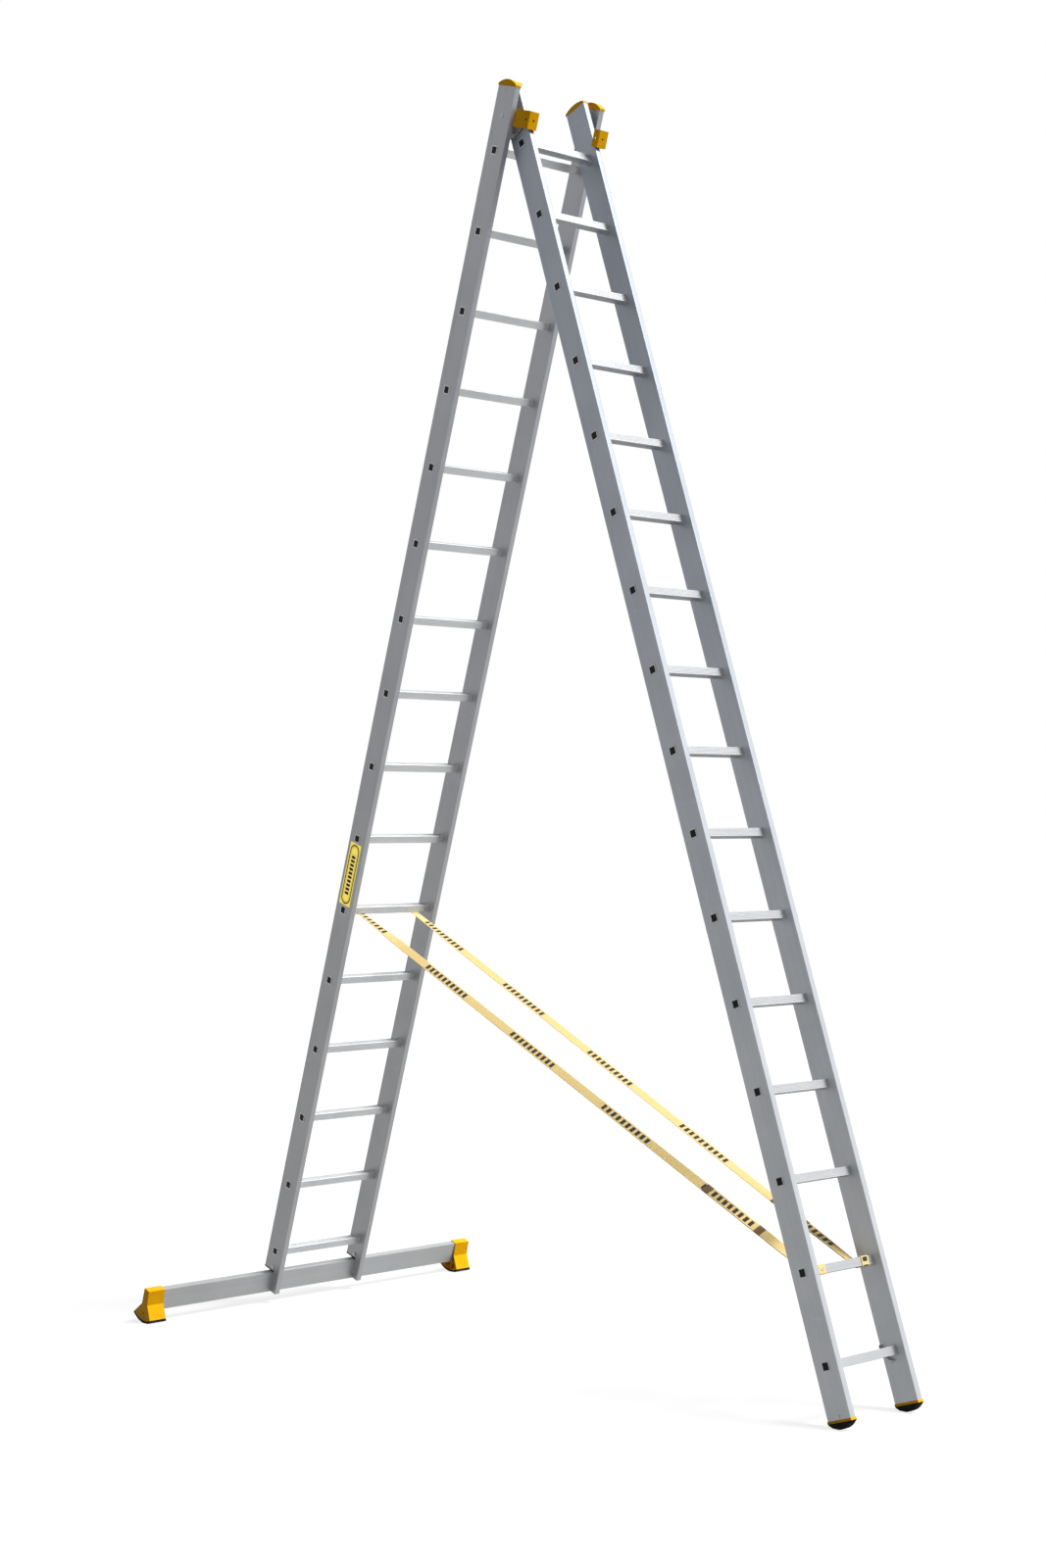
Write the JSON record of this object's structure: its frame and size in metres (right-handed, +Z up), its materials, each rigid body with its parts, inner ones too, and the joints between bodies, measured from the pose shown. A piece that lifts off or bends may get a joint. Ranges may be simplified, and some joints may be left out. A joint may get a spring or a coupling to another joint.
{
  "type": "extension ladder",
  "caption": "Aluminium extension ladder standing as an A-frame: square ribbed rungs, moulded guides, hinged head, restraining straps and a wide floor stabiliser bar.",
  "frame": {"origin": "on the floor, under the middle of the bounding box of the ladder as it stands open", "axes": "+X from the wide section with the stabiliser towards the narrow section, +Y along the rungs, +Z up"},
  "size_m": [2.9762, 1.55, 4.4014],
  "materials": {
    "stile_aluminium": "mill-finish extrusion, fine lengthwise die lines, soft sheen",
    "rung_aluminium": "mill-finish ribbed extrusion, brighter than the stiles",
    "bar_aluminium": "mill-finish tube, fine die lines",
    "rivet_aluminium": "set rivets, lightly scuffed",
    "amber_plastic": "amber moulded nylon, fine satin grain",
    "black_plastic": "black moulded plugs, satin",
    "black_rubber": "matt black rubber, scuffed on the tread",
    "zinc_steel": "zinc plated, slightly dull",
    "strap_webbing": "pale yellow woven webbing, no print",
    "label_film": "yellow film with a plain black border, no words"
  },
  "bodies": {
    "wide_section": {"wide_stile_left": "stile_aluminium", "wide_stile_right": "stile_aluminium", "wide_rung_01": "rung_aluminium", "wide_rung_02": "rung_aluminium", "wide_rung_03": "rung_aluminium", "wide_rung_04": "rung_aluminium", "wide_rung_05": "rung_aluminium", "wide_rung_06": "rung_aluminium", "wide_rung_07": "rung_aluminium", "wide_rung_08": "rung_aluminium", "wide_rung_09": "rung_aluminium", "wide_rung_10": "rung_aluminium", "wide_rung_11": "rung_aluminium", "wide_rung_12": "rung_aluminium", "wide_rung_13": "rung_aluminium", "wide_rung_14": "rung_aluminium", "wide_rung_15": "rung_aluminium", "wide_rung_16": "rung_aluminium", "wide_rung_plugs": "black_plastic", "wide_top_caps": "amber_plastic", "guide_left": "amber_plastic", "guide_right": "amber_plastic", "guide_bolts": "zinc_steel", "hinge_pins": "zinc_steel", "stabiliser_bar": "bar_aluminium", "stabiliser_foot_left": "amber_plastic", "stabiliser_foot_right": "amber_plastic", "stabiliser_soles": "black_rubber", "stabiliser_bolts": "zinc_steel", "end_plugs_and_guide_pads": "black_plastic", "wide_rivets": "rivet_aluminium", "label_plate": "label_film", "opening_straps": "strap_webbing"},
    "hinge_plates": {"hinge_plate_left": "zinc_steel", "hinge_plate_right": "zinc_steel"},
    "narrow_section": {"narrow_stile_left": "stile_aluminium", "narrow_stile_right": "stile_aluminium", "narrow_rung_01": "rung_aluminium", "narrow_rung_02": "rung_aluminium", "narrow_rung_03": "rung_aluminium", "narrow_rung_04": "rung_aluminium", "narrow_rung_05": "rung_aluminium", "narrow_rung_06": "rung_aluminium", "narrow_rung_07": "rung_aluminium", "narrow_rung_08": "rung_aluminium", "narrow_rung_09": "rung_aluminium", "narrow_rung_10": "rung_aluminium", "narrow_rung_11": "rung_aluminium", "narrow_rung_12": "rung_aluminium", "narrow_rung_13": "rung_aluminium", "narrow_rung_14": "rung_aluminium", "narrow_rung_15": "rung_aluminium", "narrow_rung_16": "rung_aluminium", "narrow_rung_plugs": "black_plastic", "narrow_top_caps": "amber_plastic", "narrow_foot_flanges": "amber_plastic", "narrow_foot_pads": "black_rubber", "shoulder_studs": "zinc_steel", "rung_catches": "bar_aluminium", "narrow_rivets": "rivet_aluminium"}
  },
  "joints": [
    {"name": "a_frame_fold", "type": "hinge", "parent": "wide_section", "child": "hinge_plates", "pos_m": [0.06456, 0, 4.21401], "axis": [0, 1, 0], "range_deg": [0, 37], "deforming": ["opening_straps"]},
    {"name": "narrow_section_slide", "type": "slide", "parent": "hinge_plates", "child": "narrow_section", "axis": [-0.3056, 0, 0.9522], "range_m": [0, 3.36]}
  ]
}
